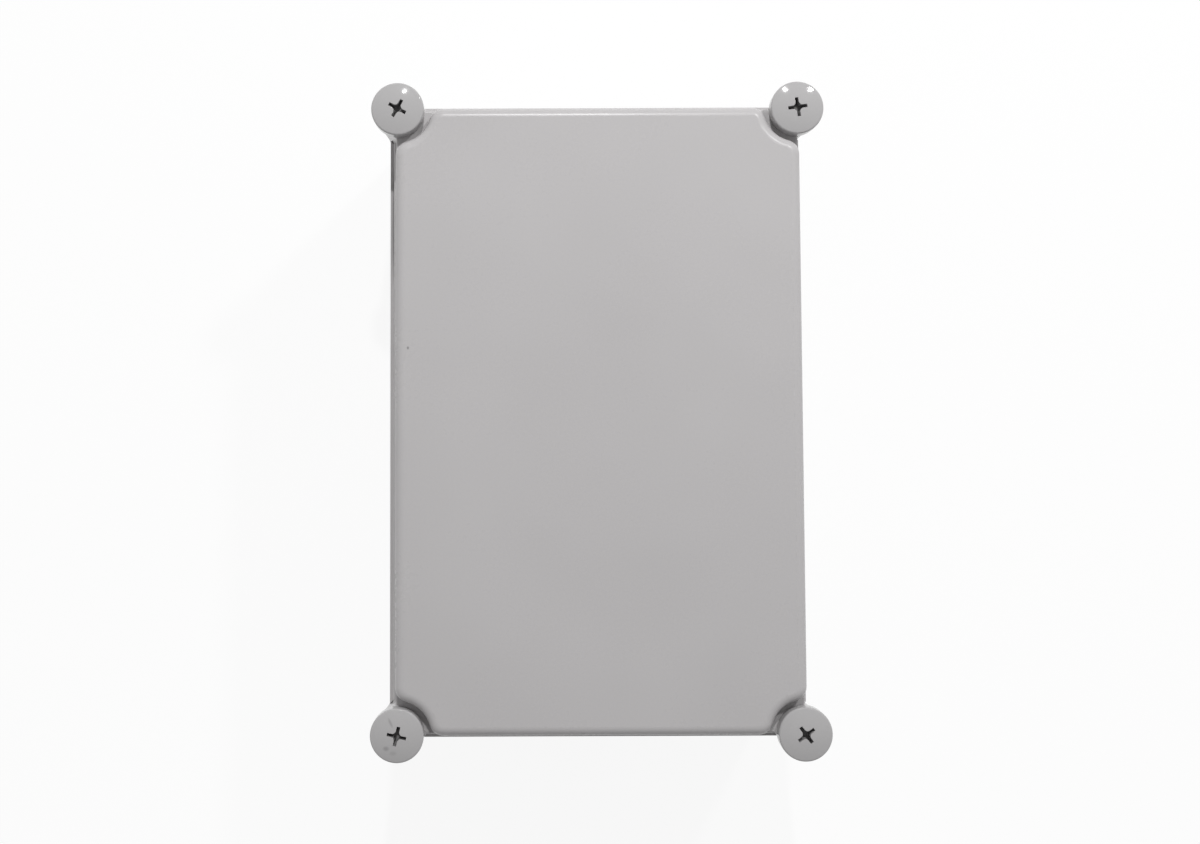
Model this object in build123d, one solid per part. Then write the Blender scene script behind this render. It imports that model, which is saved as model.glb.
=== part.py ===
from build123d import *
import math
import os

# Plastic project box, 190 x 280 x 130 mm: a deep base with four outside screw
# pillars, a lid with scooped corners, and four large captive plastic screws.
# Millimetres, +Z up. X runs across the box, Y along it. The origin is under the
# middle of the box, on the plane of the feet that it stands on.

# Outside of the base where the wall meets the floor
base_w = 173.0
base_l = 267.6
base_draft = 0.45
cavity_draft = 0.4
floor_t = 3.0
floor_edge_r = 1.6
cavity_floor_r = 2.5

# Heights above the plane of the feet
box_h = 130.0
lid_h = 33.0
foot_h = 3.0
disc_h = 1.5
rim_h = 9.0
ledge_drop = 8.0

# Rim of the base, and the lip on it that stands round the flange of the lid
rim_side_step = 2.3
rim_end_step = 1.5
rim_chamfer = 1.0
lip_side_t = 1.6
lip_end_t = 2.0
lip_h = 2.0
lip_gap = 0.3

# Lid: a flange along the seam, the wall set back from it, the top
flange_h = 7.5
flange_edge_r = 0.8
lid_side_step = 1.5
lid_end_step = 2.4
lid_draft = 2.0
lid_edge_r = 4.0
lid_top_t = 3.0
lid_inner_draft = 2.3
lid_inner_edge_r = 2.0

# Lid screws: a wide flat head, a plain neck and the core of the thread
screw_side_inset = 3.0
screw_end_inset = 4.55
head_d = 22.0
head_dome_h = 1.5
head_edge_r = 0.9
head_core_d = 11.0
head_skirt_t = 1.8
head_hollow_h = 3.0
neck_d = 8.0
thread_root_d = 7.4
thread_crest_d = 9.0
thread_l = 15.0
thread_run_out = 1.5
screw_tip_chamfer = 1.0

# Cross recess in the screw heads, and how far each screw is turned
cross_tip = 8.0
cross_arm_w = 1.4
cross_blend_r = 1.5
cross_depth = 5.0
cross_draft = 3.0
cross_turn = {"front_left": -13.0, "front_right": 37.0, "rear_left": -29.0, "rear_right": 8.0}

# Room for the screws in the lid and the base, and the clips that keep them in the lid
seat_gap = 0.05
hole_gap = 0.2
bore_gap = 0.1
bore_end_room = 7.0
bore_step = 0.2
lug_web_t = 4.0
chamber_d = 14.0
clip_side_gap = 0.7
clip_t = 1.4
clip_groove_depth = 0.6
clip_gap = 0.05
clip_mouth = 5.4
clip_stop_gap = 0.5

# Scooped corners of the lid, the corner lugs, and the pillars under them
scoop_gap = 1.9
scoop_wall_t = 2.2
scoop_flare = 7.0
lug_reach = 7.0
head_overhang = 2.2
lid_lug_step = 0.3
lid_lug_reach = 9.5
lug_draft = 1.0
lug_edge_r = 1.0
pillar_foot_r = 8.5
pillar_draft = 0.1
pillar_foot_edge_r = 0.5

# Seal: a rubber cord in a groove of the lid, pressed by a tongue of the base
seal_side_inset = 2.0
seal_end_inset = 2.3
seal_flare = 5.0
groove_w = 2.2
groove_depth = 5.2
groove_wall = 1.2
tongue_w = 1.2
tongue_h = 2.2
tongue_step = 0.1
gasket_side_gap = 0.05

# Wall fixing holes in the pillars, and the feet halfway along each edge
fixing_d = 5.1
fixing_seat_h = 8.0
mid_side_inset = 10.0
mid_end_inset = 8.8
mid_foot_d = 16.0
mid_hole_d = 4.3
mid_hole_depth = 12.0
mid_core_d = 11.0
mid_core_h = 9.0
mid_mouth_d = 6.4
mid_mouth_depth = 2.2

# Board supports on a square grid, and the discs that close them underneath
grid = 25.0
small_disc_d = 7.5
small_pilot_d = 3.2
large_disc_d = 12.0
large_pilot_d = 4.2
support_h = 8.0
support_edge_r = 0.4
pilot_floor_t = 1.6

# Moulding gate in the middle of the underside
gate_dish_d = 19.0
gate_floor_d = 12.8
gate_ring_d = 7.8
gate_ring_w = 0.9
gate_ring_h = 0.35
gate_depth = 0.9
gate_nub_d = 1.7
gate_nub_h = 0.7
gate_pad_d = 24.0
gate_pad_h = 1.2

# Heights and places that follow from the sizes above
lid_low = box_h - lid_h
seam_z = lid_low - seat_gap
rim_z = seam_z - rim_h
ledge_z = box_h - ledge_drop
ledge_h = lid_h - ledge_drop
floor_top_z = foot_h + floor_t
support_top_z = floor_top_z + support_h
screw_dx = base_w - 2 * screw_side_inset
screw_dy = base_l - 2 * screw_end_inset
mid_foot_x = base_w / 2 - mid_side_inset
mid_foot_y = base_l / 2 - mid_end_inset
small_col_x = 3 * grid
small_row_y = 4.5 * grid
large_x = 2.4 * grid
large_y = 4.2 * grid

# Outlines, each measured from the one outside it
rim_w = base_w + 2 * rim_side_step
rim_l = base_l + 2 * rim_end_step
flange_w = rim_w - 2 * (lip_side_t + lip_gap)
flange_l = rim_l - 2 * (lip_end_t + lip_gap)
lid_w = flange_w - 2 * lid_side_step
lid_l = flange_l - 2 * lid_end_step
seal_w = flange_w - 2 * seal_side_inset
seal_l = flange_l - 2 * seal_end_inset
lid_inset = groove_w / 2 + groove_wall
scoop_r = head_d / 2 + scoop_gap
seal_notch_r = scoop_r + scoop_wall_t - lid_inset
lug_r = head_d / 2 - head_overhang
lid_lug_r = lug_r + lid_lug_step

# Fits between the screws, the clips and their bores
head_h = ledge_drop - seat_gap
neck_hole_d = thread_crest_d + 2 * hole_gap
thread_bore_d = thread_crest_d + 2 * bore_gap
thread_bore_l = thread_l + bore_end_room
pillar_bore_d = thread_bore_d - 2 * bore_step
clip_d = chamber_d - 2 * clip_side_gap
clip_groove_d = neck_d - 2 * clip_groove_depth
clip_high = -(lug_web_t + thread_l + clip_stop_gap)
clip_low = clip_high - clip_t - 2 * clip_gap

corners = {
    "front_left": (-1, -1),
    "front_right": (1, -1),
    "rear_left": (-1, 1),
    "rear_right": (1, 1),
}


def screw_place(name, z=0.0):
    sx, sy = corners[name]
    return Pos(sx * screw_dx / 2, sy * screw_dy / 2, z)


def notched(width, length, notch_r, flare_r):
    """A rectangle with a round bite at each screw, its ends rounded off."""
    face = Rectangle(width, length)
    for name in corners:
        face -= screw_place(name) * Circle(notch_r)
    return fillet(face.vertices(), flare_r)


def seal_line(offset):
    """The path of the seal, moved outwards by an offset."""
    return notched(
        seal_w + 2 * offset, seal_l + 2 * offset, seal_notch_r - offset, seal_flare + offset
    )


def seal_band(width):
    return seal_line(width / 2) - seal_line(-width / 2)


def lug_face(radius, reach):
    """A round-ended tab that points along +X."""
    return Circle(radius) + Pos(-reach / 2, 0) * Rectangle(reach, 2 * radius)


def lug_place(name):
    """The place of a lug: at its screw, pointing out along the corner's diagonal."""
    sx, sy = corners[name]
    return screw_place(name) * Rot(0, 0, math.degrees(math.atan2(sy, sx)))


def edges_at(shape, z):
    """The edges that lie flat at one height."""
    return [e for e in shape.edges() if abs(e.bounding_box().min.Z - z) < 1e-4
            and abs(e.bounding_box().max.Z - z) < 1e-4]


def base_tub():
    wall_h = seam_z - foot_h
    tub = Pos(0, 0, foot_h) * extrude(Rectangle(base_w, base_l), wall_h, taper=-base_draft)
    tub = fillet(edges_at(tub, foot_h), floor_edge_r)
    pillar = extrude(Circle(pillar_foot_r), rim_z + rim_chamfer, taper=-pillar_draft)
    pillar = fillet(edges_at(pillar, 0), pillar_foot_edge_r)
    for name in corners:
        tub += screw_place(name) * pillar
    rim_face = Rectangle(rim_w, rim_l)
    for name in corners:
        rim_face += lug_place(name) * lug_face(lug_r, lug_reach)
    rim = Pos(0, 0, rim_z) * extrude(rim_face, rim_h)
    return tub + chamfer(edges_at(rim, rim_z), rim_chamfer)


def base_cavity():
    face = seal_line(-tongue_w / 2 - tongue_step)
    depth = seam_z - floor_top_z
    cavity = Pos(0, 0, seam_z) * extrude(face, -depth, taper=cavity_draft)
    return fillet(edges_at(cavity, floor_top_z), cavity_floor_r)


def base_lip():
    inside = Rectangle(flange_w + 2 * lip_gap, flange_l + 2 * lip_gap)
    ring = Rectangle(rim_w, rim_l) - inside
    for name in corners:
        ring -= lug_place(name) * lug_face(lid_lug_r + lip_gap, lid_lug_reach)
    return Pos(0, 0, seam_z) * extrude(ring, lip_h)


def small_holes(hole_d):
    """Round faces at the small supports: four along each end, eight along each side."""
    face = Circle(hole_d / 2)
    ends = GridLocations(grid, 2 * small_row_y, 4, 2) * face
    sides = GridLocations(2 * small_col_x, grid, 2, 8) * face
    return Sketch() + ends + sides


def large_holes(hole_d):
    return Sketch() + GridLocations(2 * large_x, 2 * large_y, 2, 2) * Circle(hole_d / 2)


def mid_holes(hole_d):
    """Round faces at the four feet halfway along the edges."""
    face = Circle(hole_d / 2)
    sides = GridLocations(2 * mid_foot_x, 0, 2, 1) * face
    ends = GridLocations(0, 2 * mid_foot_y, 1, 2) * face
    return Sketch() + sides + ends


def supports():
    """Board supports inside the floor, with the raised discs that lie under them."""
    low = foot_h - disc_h
    posts = extrude(small_holes(small_disc_d) + large_holes(large_disc_d), support_top_z - low)
    return Pos(0, 0, low) * fillet(edges_at(posts, 0), support_edge_r)


def support_pilots():
    bottom = foot_h - disc_h + pilot_floor_t
    holes = small_holes(small_pilot_d) + large_holes(large_pilot_d)
    return Pos(0, 0, bottom) * extrude(holes, support_top_z - bottom)


def mid_feet():
    """Feet halfway along the edges, with the blind cores that rise inside."""
    feet = extrude(mid_holes(mid_foot_d), foot_h + floor_t / 2)
    feet = fillet(edges_at(feet, 0), pillar_foot_edge_r)
    return feet + extrude(mid_holes(mid_core_d), floor_top_z + mid_core_h)


def pillar_bore():
    """Stepped bore: lid screw above, room for a driver, wall fixing hole below."""
    bore = extrude(Circle(fixing_d / 2), fixing_seat_h)
    bore += Pos(0, 0, fixing_seat_h) * extrude(
        Circle(pillar_bore_d / 2), seam_z - thread_bore_l - fixing_seat_h
    )
    top = Pos(0, 0, seam_z - thread_bore_l)
    return bore + top * extrude(Circle(thread_bore_d / 2), thread_bore_l)


def gate_cut():
    """The shallow dish round the moulding gate, with its ring and nub left standing."""
    deep = foot_h + gate_depth
    ring_r = gate_ring_d / 2
    outline = Polyline(
        (0, foot_h), (gate_dish_d / 2, foot_h), (gate_floor_d / 2, deep),
        (ring_r, deep), (ring_r, deep - gate_ring_h), (ring_r - gate_ring_w, deep - gate_ring_h),
        (ring_r - gate_ring_w, deep), (gate_nub_d / 2, deep), (gate_nub_d / 2, deep - gate_nub_h),
        (0, deep - gate_nub_h), close=True,
    )
    return revolve(make_face(Plane.XZ * outline), Axis.Z)


def make_base():
    base = base_tub() - base_cavity() + base_lip() + supports() + mid_feet()
    base += Pos(0, 0, seam_z) * extrude(seal_band(tongue_w), tongue_h)
    base += Pos(0, 0, floor_top_z) * extrude(Circle(gate_pad_d / 2), gate_pad_h)
    base -= support_pilots()
    base -= extrude(mid_holes(mid_hole_d), mid_hole_depth)
    base -= Pos(0, -mid_foot_y) * extrude(Circle(mid_mouth_d / 2), mid_mouth_depth)
    for name in corners:
        base -= screw_place(name) * pillar_bore()
    return base - gate_cut()


def lid_shell():
    """Outside of the lid: scooped top, square shoulders, flange and corner lugs."""
    top = extrude(notched(lid_w, lid_l, scoop_r, scoop_flare), lid_h, taper=lid_draft)
    top = fillet(edges_at(top, lid_h), lid_edge_r)
    shoulder = extrude(Rectangle(lid_w, lid_l), ledge_h, taper=lid_draft)
    shoulder = fillet(edges_at(shoulder, ledge_h), lug_edge_r)
    flange = extrude(Rectangle(flange_w, flange_l), flange_h)
    flange = fillet(edges_at(flange, flange_h), flange_edge_r)
    lug = extrude(lug_face(lid_lug_r, lid_lug_reach), ledge_h, taper=lug_draft)
    lug = fillet(edges_at(lug, ledge_h), lug_edge_r)
    shell = shoulder + flange
    for name in corners:
        shell += lug_place(name) * lug
    return shell + top


def lid_cavity():
    depth = lid_h - lid_top_t
    cavity = extrude(seal_line(-lid_inset), depth, taper=lid_inner_draft)
    return fillet(edges_at(cavity, depth), lid_inner_edge_r)


def make_lid():
    lid = lid_shell() - lid_cavity() - extrude(seal_band(groove_w), groove_depth)
    bores = extrude(Circle(chamber_d / 2), ledge_h - lug_web_t)
    bores += extrude(Circle(neck_hole_d / 2), lid_h)
    for name in corners:
        lid -= screw_place(name) * bores
    return Pos(0, 0, lid_low) * lid


def make_gasket():
    band = seal_band(groove_w - 2 * gasket_side_gap)
    return Pos(0, 0, lid_low + tongue_h) * extrude(band, groove_depth - tongue_h)


def cross_recess():
    """A cross cut from its mouth down, its arms blended at the middle."""
    cross = Rectangle(cross_tip, cross_arm_w) + Rectangle(cross_arm_w, cross_tip)
    inner = [v for v in cross.vertices() if Vector(v.X, v.Y).length < cross_arm_w]
    cross = fillet(inner, cross_blend_r)
    return extrude(cross, -cross_depth, taper=cross_draft)


def screw_blank():
    """Head and shank, turned about the screw's axis, with the seat of the head at zero."""
    head_r = head_d / 2
    root_r = thread_root_d / 2
    neck_r = neck_d / 2
    core_r = head_core_d / 2
    skirt_r = head_r - head_skirt_t
    tip = -(ledge_h + thread_l)
    neck_low = tip + thread_l + thread_run_out
    dome_r = (head_r ** 2 + head_dome_h ** 2) / (2 * head_dome_h)
    half_r = head_r / 2
    half_drop = dome_r - math.sqrt(dome_r ** 2 - half_r ** 2)
    edge_h = head_h - head_dome_h
    dome = ThreePointArc((0, head_h), (half_r, head_h - half_drop), (head_r, edge_h))
    rest = Polyline(
        (head_r, edge_h), (head_r, 0), (skirt_r, 0), (skirt_r, head_hollow_h),
        (core_r, head_hollow_h), (core_r, 0), (neck_r, 0), (neck_r, clip_high),
        (clip_groove_d / 2, clip_high), (clip_groove_d / 2, clip_low), (neck_r, clip_low),
        (neck_r, neck_low), (root_r, neck_low - (neck_r - root_r)),
        (root_r, tip + screw_tip_chamfer), (root_r - screw_tip_chamfer, tip), (0, tip),
        (0, head_h),
    )
    blank = revolve(make_face(Plane.XZ * (dome + rest)), Axis.Z)
    return fillet(edges_at(blank, edge_h), head_edge_r)


def make_screw(name):
    dome_top = Pos(0, 0, head_h)
    screw = screw_blank() - dome_top * cross_recess()
    return screw_place(name, ledge_z + seat_gap) * Rot(0, 0, cross_turn[name]) * screw


def make_clip(name):
    """A snap-on ring in the groove of a screw, open on the side that faces the box."""
    ring = Circle(clip_d / 2) - Circle(clip_groove_d / 2 + clip_gap)
    ring -= Pos(-clip_d / 2, 0) * Rectangle(clip_d, clip_mouth)
    clip = Pos(0, 0, clip_low + clip_gap) * extrude(ring, clip_t)
    return Pos(0, 0, ledge_z + seat_gap) * lug_place(name) * clip


parts = {"base": make_base(), "lid": make_lid(), "gasket": make_gasket()}
for corner in corners:
    parts[f"screw_{corner}"] = make_screw(corner)
    parts[f"clip_{corner}"] = make_clip(corner)

os.makedirs("parts", exist_ok=True)
for node, solid in parts.items():
    export_step(solid, f"parts/{node}.step")
    print(node, round(solid.volume), solid.bounding_box())
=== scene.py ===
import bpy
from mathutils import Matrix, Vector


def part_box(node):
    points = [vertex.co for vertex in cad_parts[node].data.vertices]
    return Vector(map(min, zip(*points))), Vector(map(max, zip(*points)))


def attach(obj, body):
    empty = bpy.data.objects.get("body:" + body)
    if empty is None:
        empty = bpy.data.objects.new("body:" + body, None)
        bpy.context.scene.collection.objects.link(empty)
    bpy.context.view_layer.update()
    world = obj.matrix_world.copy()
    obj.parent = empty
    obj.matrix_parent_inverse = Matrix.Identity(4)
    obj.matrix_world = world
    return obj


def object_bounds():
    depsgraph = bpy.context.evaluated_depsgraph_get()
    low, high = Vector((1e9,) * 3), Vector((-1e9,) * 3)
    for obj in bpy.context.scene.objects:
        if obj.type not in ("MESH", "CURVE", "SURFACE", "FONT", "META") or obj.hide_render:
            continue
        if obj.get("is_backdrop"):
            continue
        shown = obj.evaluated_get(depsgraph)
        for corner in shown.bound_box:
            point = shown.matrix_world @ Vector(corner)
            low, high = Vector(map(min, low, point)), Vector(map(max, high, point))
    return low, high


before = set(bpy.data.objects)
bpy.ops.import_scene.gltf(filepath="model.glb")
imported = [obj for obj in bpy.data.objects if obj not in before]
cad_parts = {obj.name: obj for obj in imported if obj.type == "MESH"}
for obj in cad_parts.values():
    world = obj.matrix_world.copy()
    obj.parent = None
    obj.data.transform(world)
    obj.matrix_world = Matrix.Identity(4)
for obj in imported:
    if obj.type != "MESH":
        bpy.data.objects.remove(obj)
cad_low, cad_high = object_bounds()
print("Pieces in the frame:", sorted(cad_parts))

# %% [markdown]
# # A deep plastic project box
# The box is a grey tub with a lid, moulded in one hard plastic. Four large flat-headed screws of
# a similar plastic hold the lid, and snap rings keep them in it. The solids come with the frame, in
# metres, +Z up, with the origin under the middle of the box. The lessons below give them their
# finishes, wind the threads that the solids only hint at, and build the studio round them.

# %% Sizes that the lessons share
import math

import bmesh
import bpy
from mathutils import Vector

CORNERS = {"front_left": (-1, -1), "front_right": (1, -1), "rear_left": (-1, 1), "rear_right": (1, 1)}
SCREW_X, SCREW_Y = 0.0835, 0.12925
TOP = cad_high.z
print("Box, in mm:", [round(1000 * side, 1) for side in cad_high - cad_low])

# %% [markdown]
# ## A helper for finishes
# A finish is a chain of nodes. Written out by hand, each node takes four lines, so one small
# helper makes a node, sets its options and feeds its inputs. A number or a colour is typed in, and
# the output of another node is linked.


# %% Helper: add one node
def add(mat, kind, feeds=None, **options):
    made = mat.node_tree.nodes.new(kind)
    for name, value in options.items():
        setattr(made, name, value)
    for name, value in (feeds or {}).items():
        if isinstance(value, bpy.types.NodeSocket):
            mat.node_tree.links.new(value, made.inputs[name])
        else:
            made.inputs[name].default_value = value
    return made


def new_finish(name):
    mat = bpy.data.materials.new(name)
    mat.use_nodes = True
    mat.node_tree.nodes.clear()
    return mat


# %% [markdown]
# ## Uneven colour and gloss
# Most of what makes plastic look real is uneven colour and uneven gloss. Both come from noise that
# is stretched between two values. The next helper gives noise at one scale, counted in blobs per
# metre, already mapped to the range that is wanted. Noise hardly ever reaches the ends of its own
# range, so only the middle of it is stretched.


# %% Helper: noise mapped to a range
NOISE_LOW, NOISE_HIGH = 0.3, 0.7


def uneven(mat, place, scale, low, high, detail=3.0):
    noise = add(mat, "ShaderNodeTexNoise", {"Vector": place, "Scale": scale, "Detail": detail})
    return add(mat, "ShaderNodeMapRange", {
        "Value": noise.outputs[0], "From Min": NOISE_LOW, "From Max": NOISE_HIGH,
        "To Min": low, "To Max": high}).outputs[0]


def times(mat, a, b):
    return add(mat, "ShaderNodeMath", {0: a, 1: b}, operation="MULTIPLY").outputs[0]


# %% [markdown]
# ## Marks of use, and painted shade
# The photograph's box has been handled: a dark speck on the lid, a faint scratch and two smudges on
# one screw head. The same helper also paints shade: a dark line along the seam gap on the left. Each
# could be a decal, a small picture on its own face, but a mark that is part of the finish can't float
# or lie crooked.
# ellipse: its spot, its half sizes in metres and its turn. The mapping node's texture mode undoes
# all three, which leaves a round spot of radius 1. The distance from its middle gives the factor
# for the colour: full strength up to 0.3 of the radius, and then a soft edge.


# %% Helper: darken a spot or a short scratch
SOFT_FROM = 0.3


def mark(mat, place, shade, spot, half, strength, turn=0.0):
    around = add(mat, "ShaderNodeMapping", {
        "Vector": place, "Location": spot, "Rotation": (0.0, 0.0, turn), "Scale": half},
        vector_type="TEXTURE").outputs[0]
    far = add(mat, "ShaderNodeVectorMath", {0: around}, operation="LENGTH").outputs["Value"]
    soft = add(mat, "ShaderNodeMapRange", {
        "Value": far, "From Min": SOFT_FROM, "From Max": 1.0,
        "To Min": 1.0 - strength, "To Max": 1.0}, interpolation_type="SMOOTHSTEP").outputs[0]
    return times(mat, shade, soft)


# %% [markdown]
# ## Hard moulded plastic
# The shell is an impact-resistant plastic with a fine satin skin. It isn't one flat grey: the melt
# leaves faint clouds, handling leaves patches that shine a little more, and wide faces are never
# quite flat. A painted picture could show this, but noise at several scales has no seams and stays
# sharp close up. A bevel node rounds the edges of the solids in the light, as a mould does. Shine
# says how strongly the skin mirrors, and milky says how much of the light goes into the plastic
# and comes out again close by.


# %% Helper: moulded plastic
# Each kind of noise: blobs per metre, lowest value, highest value, detail
CLOUDS = (14.0, 0.975, 1.02, 2.0)
FLECKS = (900.0, 0.99, 1.01)
PATCHES = (22.0, 0.94, 1.07, 1.0)
WAVES = (22.0, 0.0, 1.0, 1.0)
GRAIN = (1500.0, 0.0, 1.0, 2.0)
SHEEN_SCALE, SHEEN_SPREAD = 400.0, 0.05
PLASTIC_IOR = 1.52
MILKY_DEPTH = 0.001


def moulded(name, colour, rough, grain, waves, edge, shine=0.5, milky=0.0, marks=(), shade_and_dirt=None):
    mat = new_finish(name)
    place = add(mat, "ShaderNodeTexCoord").outputs["Object"]
    clouds = uneven(mat, place, *CLOUDS)
    shade = times(mat, clouds, uneven(mat, place, *FLECKS))
    for one in marks:
        shade = mark(mat, place, shade, **one)
    # painted shade and dirt in the screws' recesses, when it is given
    if shade_and_dirt:
        shade = shade_and_dirt(mat, place, shade)
    base = add(mat, "ShaderNodeVectorMath", {0: colour, 1: shade}, operation="MULTIPLY").outputs[0]
    patches = uneven(mat, place, *PATCHES)
    sheen = uneven(mat, place, SHEEN_SCALE, rough * (1 - SHEEN_SPREAD), rough * (1 + SHEEN_SPREAD))
    gloss = times(mat, patches, sheen)
    rounded = add(mat, "ShaderNodeBevel", {"Radius": edge}, samples=6).outputs[0]
    wavy = add(mat, "ShaderNodeBump", {
        "Height": uneven(mat, place, *WAVES), "Distance": waves, "Normal": rounded}).outputs[0]
    fine = add(mat, "ShaderNodeBump", {
        "Height": uneven(mat, place, *GRAIN), "Distance": grain, "Normal": wavy}).outputs[0]
    skin = add(mat, "ShaderNodeBsdfPrincipled", {
        "Base Color": base, "Roughness": gloss, "Normal": fine, "IOR": PLASTIC_IOR,
        "Specular IOR Level": shine, "Subsurface Weight": milky, "Subsurface Scale": MILKY_DEPTH})
    add(mat, "ShaderNodeOutputMaterial", {"Surface": skin.outputs[0]})
    return mat


# %% [markdown]
# ## The shell's grey
# The lid and the base come from the same granulate, so they share one finish, a warm mid grey.
# The marks sit where the photograph shows them: a speck on the lid, painted shade as a dark line on
# the rim along the seam gap on the left, and two tiny dark grains near the edge of the underside. The
# shade line is made twice, narrow and dark over wide and faint, so that it fades to its sides.

# %% Finish: shell
GREY = (0.475, 0.463, 0.466)
UNDERSIDE = cad_low.z + 0.003
SEAM = TOP - 0.031
SHELL_MARKS_AND_SHADE = [
    {"spot": (-0.0789, 0.0292, TOP), "half": (0.0006, 0.0009, 0.001), "strength": 0.5},
    # painted shade: a dark line along the seam gap on the left, narrow and dark over wide and faint
    {"spot": (-0.0875, 0.084, SEAM), "half": (0.0007, 0.031, 0.006), "strength": 0.42},
    {"spot": (-0.0880, 0.084, SEAM), "half": (0.0018, 0.032, 0.004), "strength": 0.14},
    {"spot": (0.0785, 0.0637, UNDERSIDE), "half": (0.0005, 0.0006, 0.001), "strength": 0.8},
    {"spot": (0.0788, 0.0624, UNDERSIDE), "half": (0.0004, 0.0004, 0.001), "strength": 0.7},
]
shell = moulded(
    "grey_shell_plastic", GREY, rough=0.28, grain=0.000004, waves=0.00006, edge=0.0004,
    shine=0.24, marks=SHELL_MARKS_AND_SHADE)
print("Shell finish:", len(shell.node_tree.nodes), "nodes,", len(SHELL_MARKS_AND_SHADE), "marks")

# %% [markdown]
# ## Painted shade and dirt in the cross recess
# The crosses in the screw heads are made evenly dark, also where light falls in: their walls get
# painted shade, as a deep recess has, with some dirt. The recess is the only skin within
# 4.3 mm of a screw's axis that lies a little below the dome, so those two distances make the mask,
# and a third keeps it off the shank below the head. The four screws stand in a mirrored pattern,
# so the size of x and y alone serves all of them.


# %% Helper: painted shade and dirt on the walls in the recess
RECESS_R, PLAIN_R = 0.0043, 0.0046
PLAIN_DEPTH, DARK_DEPTH, HEAD_DEPTH = 0.0004, 0.0012, 0.0065
DARK_RECESS_SHADE = 0.6


def recess_shade_and_dirt(mat, place, shade):
    folded = add(mat, "ShaderNodeVectorMath", {0: place}, operation="ABSOLUTE").outputs[0]
    offset = add(mat, "ShaderNodeVectorMath", {
        0: folded, 1: (SCREW_X, SCREW_Y, TOP)}, operation="SUBTRACT").outputs[0]
    flat = add(mat, "ShaderNodeVectorMath", {0: offset, 1: (1, 1, 0)}, operation="MULTIPLY").outputs[0]
    away = add(mat, "ShaderNodeVectorMath", {0: flat}, operation="LENGTH").outputs["Value"]
    height = add(mat, "ShaderNodeSeparateXYZ", {0: offset}).outputs["Z"]
    near = add(mat, "ShaderNodeMapRange", {
        "Value": away, "From Min": PLAIN_R, "From Max": RECESS_R}).outputs[0]
    sunk = add(mat, "ShaderNodeMapRange", {
        "Value": height, "From Min": -PLAIN_DEPTH, "From Max": -DARK_DEPTH}).outputs[0]
    in_head = add(mat, "ShaderNodeMath", {0: height, 1: -HEAD_DEPTH}, operation="GREATER_THAN").outputs[0]
    amount = times(mat, times(mat, near, sunk), in_head)
    # painted shade with some dirt: the recess walls are darkened in the colour
    darker = add(mat, "ShaderNodeMapRange", {
        "Value": amount, "To Min": 1.0, "To Max": DARK_RECESS_SHADE}).outputs[0]
    return times(mat, shade, darker)


# %% [markdown]
# ## The screws' grey
# The screws are moulded apart from the shell, with a smoother skin and in a slightly darker grey.
# The scratch and the smudges belong to the front left head only. A second material with these
# marks is simpler than one that asks which screw it is on.

# %% Finish: screws
SCREW_GREY = (0.418, 0.411, 0.413)
LEFT = Vector((-SCREW_X, -SCREW_Y, TOP))
HEAD_MARKS = [
    {"spot": LEFT + Vector((-0.0025, 0.0056, 0)), "half": (0.0031, 0.0008, 0.002), "strength": 0.22,
     "turn": math.radians(-64)},
    {"spot": LEFT + Vector((-0.0043, -0.0049, 0)), "half": (0.0018, 0.0014, 0.002), "strength": 0.26},
    {"spot": LEFT + Vector((-0.0014, -0.0068, 0)), "half": (0.0022, 0.0014, 0.002), "strength": 0.13},
]
# the screws' finish carries the painted shade and dirt of the cross recess
SATIN = {
    "rough": 0.08, "grain": 0.000002, "waves": 0.00003, "edge": 0.0003, "shine": 0.2,
    "shade_and_dirt": recess_shade_and_dirt}
screw_grey = moulded("grey_screw_plastic", SCREW_GREY, **SATIN)
scratched = moulded("grey_screw_plastic_scratched", SCREW_GREY, marks=HEAD_MARKS, **SATIN)
print("Marks on the front left head:", len(HEAD_MARKS))

# %% [markdown]
# ## Rubber cord and snap rings
# The seal is a foamed black rubber cord with an open, dull skin, and the rings are natural nylon,
# a milky off-white that lets a little light in. Both are hidden while the box is shut. The helper
# for plastic serves both: rubber is a rougher skin with a coarser grain, and nylon a milky one.

# %% Finish: rubber and nylon
BLACK, OFF_WHITE = (0.03, 0.03, 0.032), (0.72, 0.70, 0.64)
rubber = moulded("black_seal_rubber", BLACK, rough=0.75, grain=0.00003, waves=0.0, edge=0.0002)
nylon = moulded(
    "natural_nylon", OFF_WHITE, rough=0.42, grain=0.000004, waves=0.0, edge=0.0001, milky=0.25)
print("Hidden finishes:", rubber.name, "and", nylon.name)

# %% [markdown]
# ## Which finish goes where
# A real box is one plastic per piece, so each piece of the frame takes one finish, over all of
# its faces. A table by name keeps that in one place.

# %% Put each finish on its pieces
FINISHES = {"base": shell, "lid": shell, "gasket": rubber}
for corner in CORNERS:
    FINISHES[f"screw_{corner}"] = scratched if corner == "front_left" else screw_grey
    FINISHES[f"clip_{corner}"] = nylon
for piece, finish in FINISHES.items():
    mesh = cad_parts[piece].data
    mesh.materials.clear()
    mesh.materials.append(finish)
print("Pieces with a finish:", len(FINISHES))

# %% [markdown]
# ## The screw threads
# The solids hold only the core of each thread. A real one is a coarse ridge wound round the core,
# with a flat crest and sloping flanks, that fades in at the tip so that it can find its way. A
# screw modifier could wind a profile, but the fade needs another radius at each step, so the ridge
# is built ring by ring: four points for each step, joined into faces.

# %% Wind one thread ridge
PITCH, CORE_R, CREST_R = 0.003, 0.0036, 0.0045
FOOT_HALF, CREST_HALF = 0.00095, 0.0003
STEPS_PER_TURN = 24
FADE_OUT_TURNS = 0.5
LOWEST_CREST = 0.05


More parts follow.
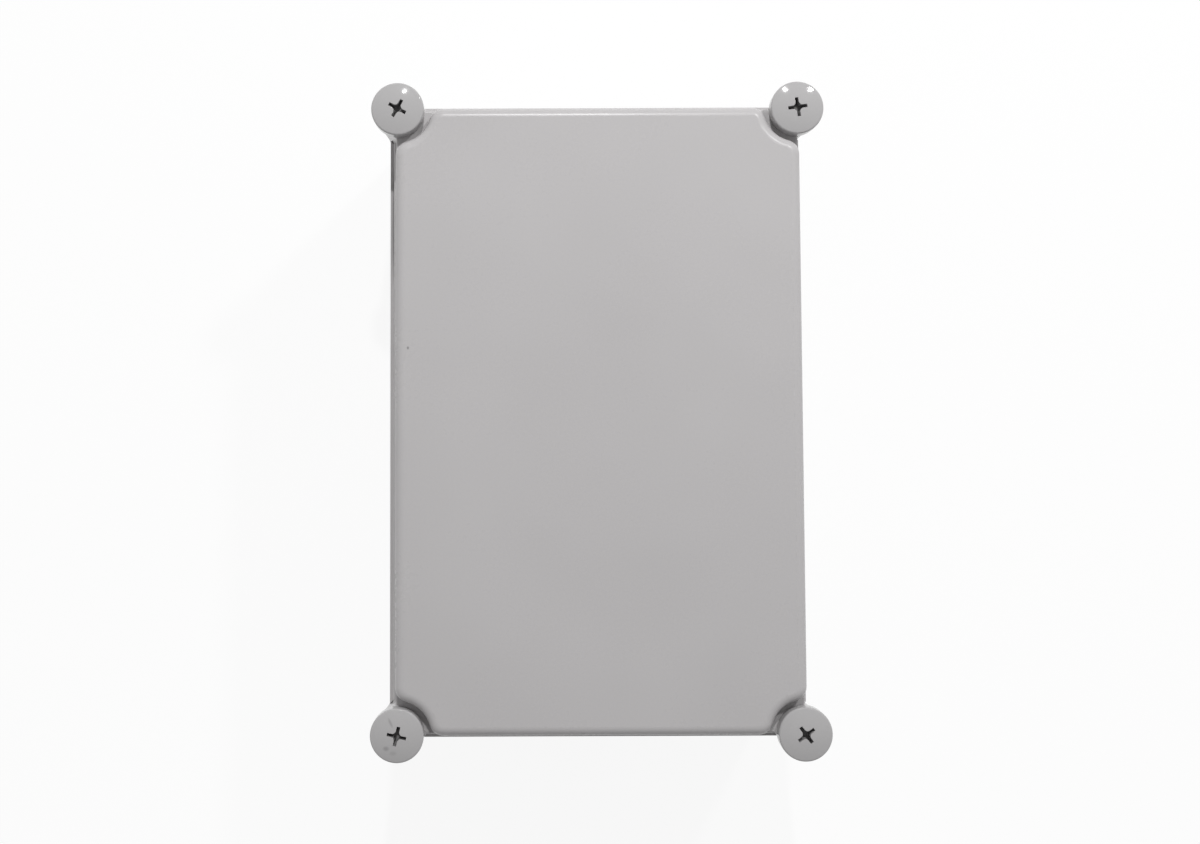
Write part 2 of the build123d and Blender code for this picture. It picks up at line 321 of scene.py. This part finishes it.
def thread_ridge(name, x, y, low, high, start):
    shape = bmesh.new()
    steps = int((high - low) / PITCH * STEPS_PER_TURN)
    rings = []
    for step in range(steps + 1):
        angle = start + 2 * math.pi * step / STEPS_PER_TURN
        fade = min(1.0, step / STEPS_PER_TURN, (steps - step) / (FADE_OUT_TURNS * STEPS_PER_TURN))
        crest = CORE_R + (CREST_R - CORE_R) * max(fade, LOWEST_CREST)
        middle = low + PITCH * step / STEPS_PER_TURN
        profile = ((CORE_R, -FOOT_HALF), (crest, -CREST_HALF), (crest, CREST_HALF), (CORE_R, FOOT_HALF))
        ring = []
        for radius, rise in profile:
            place = (x + radius * math.cos(angle), y + radius * math.sin(angle), middle + rise)
            ring.append(shape.verts.new(place))
        rings.append(ring)
    for below, above in zip(rings, rings[1:]):
        for i in range(4):
            j = (i + 1) % 4
            shape.faces.new((below[i], below[j], above[j], above[i]))
    shape.faces.new(rings[0][::-1])
    shape.faces.new(rings[-1])
    bmesh.ops.recalc_face_normals(shape, faces=shape.faces)
    mesh = bpy.data.meshes.new(name)
    shape.to_mesh(mesh)
    shape.free()
    piece = bpy.data.objects.new(name, mesh)
    bpy.context.scene.collection.objects.link(piece)
    return piece


# %% [markdown]
# ## One thread for each screw
# The ridge runs from 2 to 15 mm above the tip. Each ridge starts at an angle of its own, because
# the four screws were never turned in alike. It rides on its screw, so it rises and turns with it.

# %% Give each screw its thread
THREAD_FROM, THREAD_TO = 0.0020, 0.0150
for corner, (sx, sy) in CORNERS.items():
    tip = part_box(f"screw_{corner}")[0].z
    ridge = thread_ridge(
        f"thread_{corner}", sx * SCREW_X, sy * SCREW_Y, tip + THREAD_FROM, tip + THREAD_TO,
        start=0.7 * sx + sy)
    ridge.data.materials.append(screw_grey)
    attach(ridge, f"screw_{corner}")
print("Thread ridges:", len(CORNERS), "with", len(ridge.data.polygons), "faces each")

# %% [markdown]
# ## The studio
# The box was photographed from above, lying on white. The floor is a wide sheet that the camera
# sees as white, while the lamps still draw the box's soft shadow on it. Emission alone would lose
# the shadow and a lit white sheet alone would turn grey, so the two are mixed.

# %% Floor
FLOOR_SIZE, FLOOR_GAP = 6.0, 0.0002
PAPER = 0.9
GLOW_SHARE = 0.9
bpy.ops.mesh.primitive_plane_add(size=FLOOR_SIZE, location=(0, 0, cad_low.z - FLOOR_GAP))
floor = bpy.context.object
floor.name = "white_sheet"
paper = new_finish("white_sheet")
path = add(paper, "ShaderNodeLightPath")
seen = add(paper, "ShaderNodeMath", {
    0: path.outputs["Is Camera Ray"], 1: path.outputs["Is Glossy Ray"]}, operation="MAXIMUM")
seen = add(paper, "ShaderNodeMath", {
    0: seen.outputs[0], 1: path.outputs["Is Transmission Ray"]}, operation="MAXIMUM")
glow = add(paper, "ShaderNodeEmission", {"Color": (1, 1, 1, 1), "Strength": 1.0})
sheet = add(paper, "ShaderNodeBsdfDiffuse", {"Color": (PAPER, PAPER, PAPER, 1)})
share = times(paper, seen.outputs[0], GLOW_SHARE)
mixed = add(paper, "ShaderNodeMixShader", {0: share, 1: sheet.outputs[0], 2: glow.outputs[0]})
add(paper, "ShaderNodeOutputMaterial", {"Surface": mixed.outputs[0]})
floor.data.materials.append(paper)
floor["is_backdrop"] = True
print("Floor:", floor.name, FLOOR_SIZE, "m wide")

# %% [markdown]
# ## Light
# A highlight on a domed screw head tells where its lamp is: the dome's normal there lies halfway
# between the lamp and the camera. The photograph's two far heads show the same lamp from two
# places, so it stands close by, on the far side and high up. A second, wider one stands to its
# right, and lights the right edge of the lid. Both are small, as the highlights are.


# %% Lamps
def lamp(name, place, size, power):
    light = bpy.data.lights.new(name, "AREA")
    light.shape = "DISK"
    light.size = size
    light.energy = power
    holder = bpy.data.objects.new(name, light)
    bpy.context.scene.collection.objects.link(holder)
    holder.location = place
    way = Vector(place) - Vector((0, 0, TOP))
    holder.rotation_mode = "QUATERNION"
    holder.rotation_quaternion = way.to_track_quat("Z", "Y")


lamp("far_lamp", (0.0, 0.80, 1.15), 0.05, 8.5)
lamp("right_lamp", (0.57, 0.755, 1.02), 0.10, 5.8)

# %% [markdown]
# ## The room
# A room gives the shadows their fill. White cards stand low on the left and the right, the left
# one brighter, and the near and far sides are left dark. So the room's strength is a bowl: lowest
# overhead and along the length of the box, and rising with the square of the sideways direction.
# The camera itself sees plain white instead.

# %% World
BOWL_MIDDLE, BOWL_RISE, BOWL_LOW = 0.06, 0.64, 0.20
world = bpy.data.worlds.new("room")
bpy.context.scene.world = world
world.use_nodes = True
world.node_tree.nodes.clear()
room_place = add(world, "ShaderNodeTexCoord").outputs["Generated"]
split = add(world, "ShaderNodeSeparateXYZ", {0: room_place})
sideways = add(world, "ShaderNodeMath", {
    0: split.outputs["X"], 1: BOWL_MIDDLE}, operation="SUBTRACT").outputs[0]
bowl = add(world, "ShaderNodeMath", {
    0: times(world, sideways, sideways), 1: BOWL_RISE, 2: BOWL_LOW}, operation="MULTIPLY_ADD").outputs[0]
fill = add(world, "ShaderNodeBackground", {"Color": (1, 1, 1, 1), "Strength": bowl})
white = add(world, "ShaderNodeBackground", {"Color": (1, 1, 1, 1), "Strength": 1.0})
room_path = add(world, "ShaderNodeLightPath")
room = add(world, "ShaderNodeMixShader", {
    0: room_path.outputs["Is Camera Ray"], 1: fill.outputs[0], 2: white.outputs[0]})
add(world, "ShaderNodeOutputWorld", {"Surface": room.outputs[0]})
print("Room:", len(world.node_tree.nodes), "nodes")

# %% [markdown]
# ## Camera
# The camera hangs about 65 cm above the screw heads, a little left of the middle, so that a
# sliver of the base's rim shows past the lid on that side. It is tipped a few degrees, which makes
# the near end look slightly larger, and rolled by a fifth of a degree. These turns and the lens
# come from the centres of the four screw heads in the photograph. The small shift centres the box
# without turning the camera.

# %% Camera
scene = bpy.context.scene
lens = bpy.data.cameras.new("camera")
camera = bpy.data.objects.new("camera", lens)
scene.collection.objects.link(camera)
scene.camera = camera
HEAD_EDGE, DISTANCE = TOP - 0.0015, 0.645
TIP, ROLL = math.radians(3.345), math.radians(-0.21)
camera.location = (-0.030, -0.004, HEAD_EDGE + DISTANCE)
camera.rotation_euler = (TIP, 0, ROLL)
lens.sensor_width = 36.0
lens.lens = 46.83
lens.shift_x, lens.shift_y = 0.0611, -0.0710
lens.clip_start, lens.clip_end = 0.05, 20.0
scene.view_settings.view_transform = "Standard"
print(f"Lens {lens.lens:.1f} mm")

# %% [markdown]
# ## The last measure
# Everything that was added should stay within the CAD's own box. The growth over it is printed here.

# %% Finish
visual_low, visual_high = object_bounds()
growth = max((cad_low - visual_low)[:] + (visual_high - cad_high)[:])
print("Largest growth over the CAD box, in mm:", 1000 * growth)
